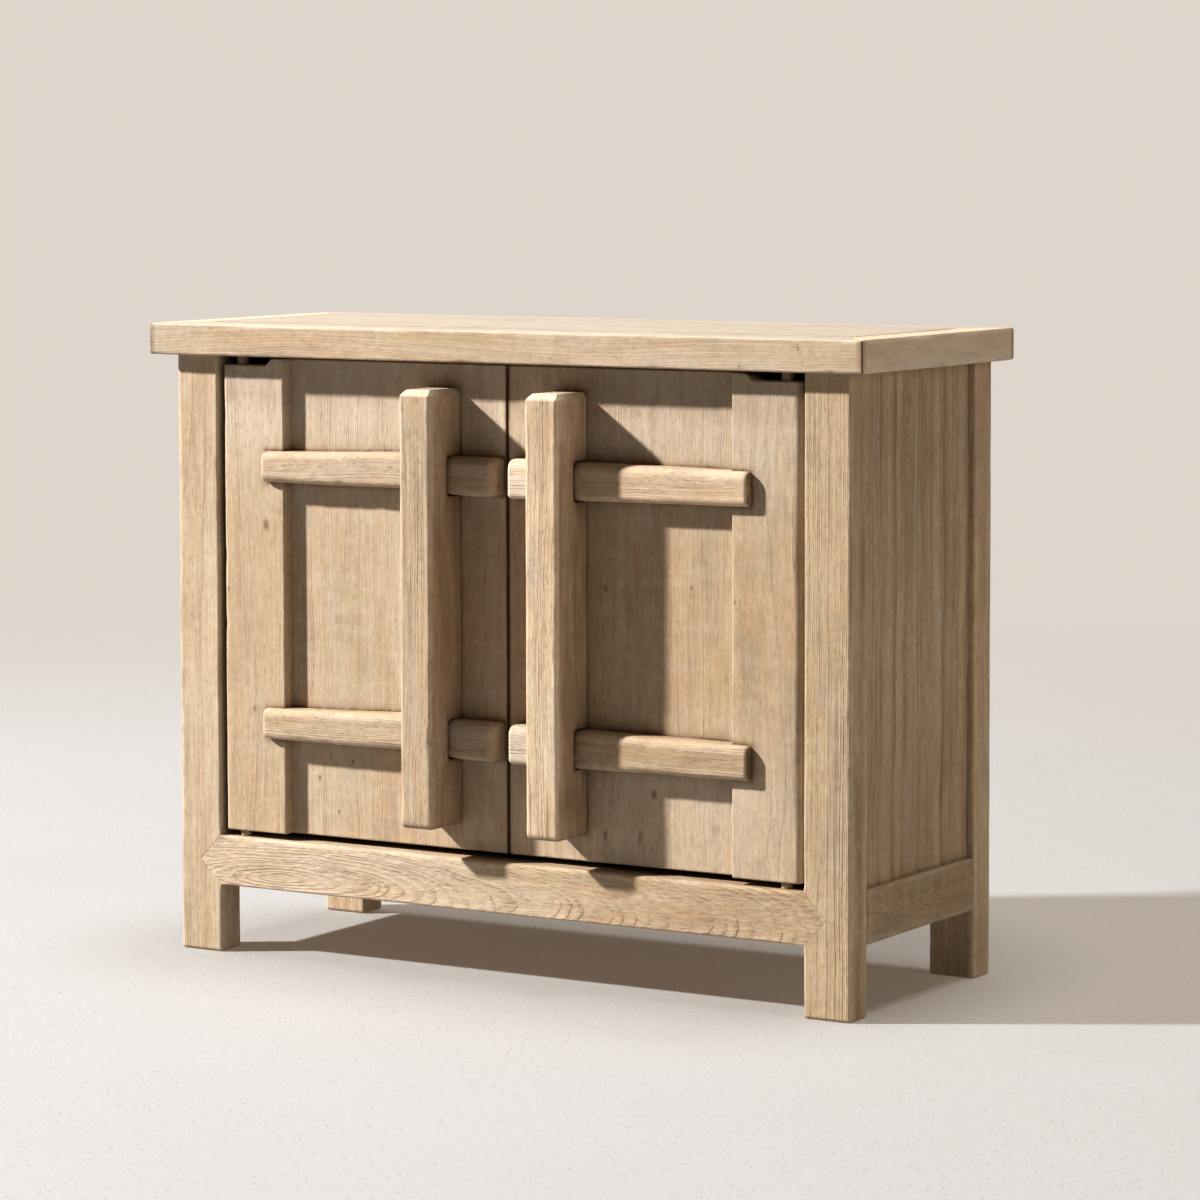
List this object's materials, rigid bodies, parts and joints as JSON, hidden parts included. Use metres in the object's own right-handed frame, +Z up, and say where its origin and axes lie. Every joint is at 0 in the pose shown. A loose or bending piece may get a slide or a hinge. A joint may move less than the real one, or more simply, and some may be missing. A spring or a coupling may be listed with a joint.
{
  "type": "accent cabinet",
  "caption": "Low wooden accent cabinet with a mitred frame top, square legs and inset doors that turn on wooden pins and carry cross battens and tall bar handles.",
  "frame": {"origin": "middle of the plan of the whole cabinet, handles included, at the floor", "axes": "+X to the right as seen from the front, +Y to the back, +Z up"},
  "size_m": [1.02, 0.423, 0.8],
  "materials": {
    "case_wood": "bleached elm, matt, hand planed",
    "top_wood": "bleached elm, matt, worn arrises",
    "door_wood": "bleached elm, matt, hand planed",
    "inner_wood": "plain sawn softwood, unfinished",
    "hardwood_pins": "turned hardwood, waxed dark",
    "steel_screws": "zinc plated"
  },
  "bodies": {
    "case": {"back_board_1": "case_wood", "back_board_2": "case_wood", "back_board_3": "case_wood", "back_board_4": "case_wood", "back_rail": "case_wood", "door_stop": "inner_wood", "floor_bearer_centre": "inner_wood", "floor_bearer_left": "inner_wood", "floor_bearer_right": "inner_wood", "floor_board_1": "inner_wood", "floor_board_2": "inner_wood", "floor_board_3": "inner_wood", "front_rail": "case_wood", "leg_back_left": "case_wood", "leg_back_right": "case_wood", "leg_front_left": "case_wood", "leg_front_right": "case_wood", "shelf_bearer_back": "inner_wood", "shelf_bearer_left": "inner_wood", "shelf_bearer_right": "inner_wood", "shelf_board_back": "inner_wood", "shelf_board_front": "inner_wood", "side_board_left_1": "case_wood", "side_board_left_2": "case_wood", "side_board_left_3": "case_wood", "side_board_right_1": "case_wood", "side_board_right_2": "case_wood", "side_board_right_3": "case_wood", "side_rail_left": "case_wood", "side_rail_right": "case_wood", "top_back_member": "top_wood", "top_board_1": "top_wood", "top_board_2": "top_wood", "top_board_3": "top_wood", "top_cross_batten_left": "inner_wood", "top_cross_batten_right": "inner_wood", "top_front_member": "top_wood", "top_left_member": "top_wood", "top_right_member": "top_wood"},
    "left_door": {"left_door_batten_lower": "door_wood", "left_door_batten_upper": "door_wood", "left_door_board_inner": "door_wood", "left_door_board_outer": "door_wood", "left_door_handle": "door_wood", "left_door_pin_bottom": "hardwood_pins", "left_door_pin_top": "hardwood_pins", "left_door_screws": "steel_screws", "left_door_stile": "door_wood"},
    "right_door": {"right_door_batten_lower": "door_wood", "right_door_batten_upper": "door_wood", "right_door_board_inner": "door_wood", "right_door_board_outer": "door_wood", "right_door_handle": "door_wood", "right_door_pin_bottom": "hardwood_pins", "right_door_pin_top": "hardwood_pins", "right_door_screws": "steel_screws", "right_door_stile": "door_wood"}
  },
  "joints": [
    {"name": "left_door_hinge", "type": "hinge", "parent": "case", "child": "left_door", "pos_m": [-0.3915, -0.1455, 0.457], "axis": [0, 0, -1], "range_deg": [0, 110]},
    {"name": "right_door_hinge", "type": "hinge", "parent": "case", "child": "right_door", "pos_m": [0.3915, -0.1455, 0.457], "axis": [0, 0, 1], "range_deg": [0, 110]}
  ]
}
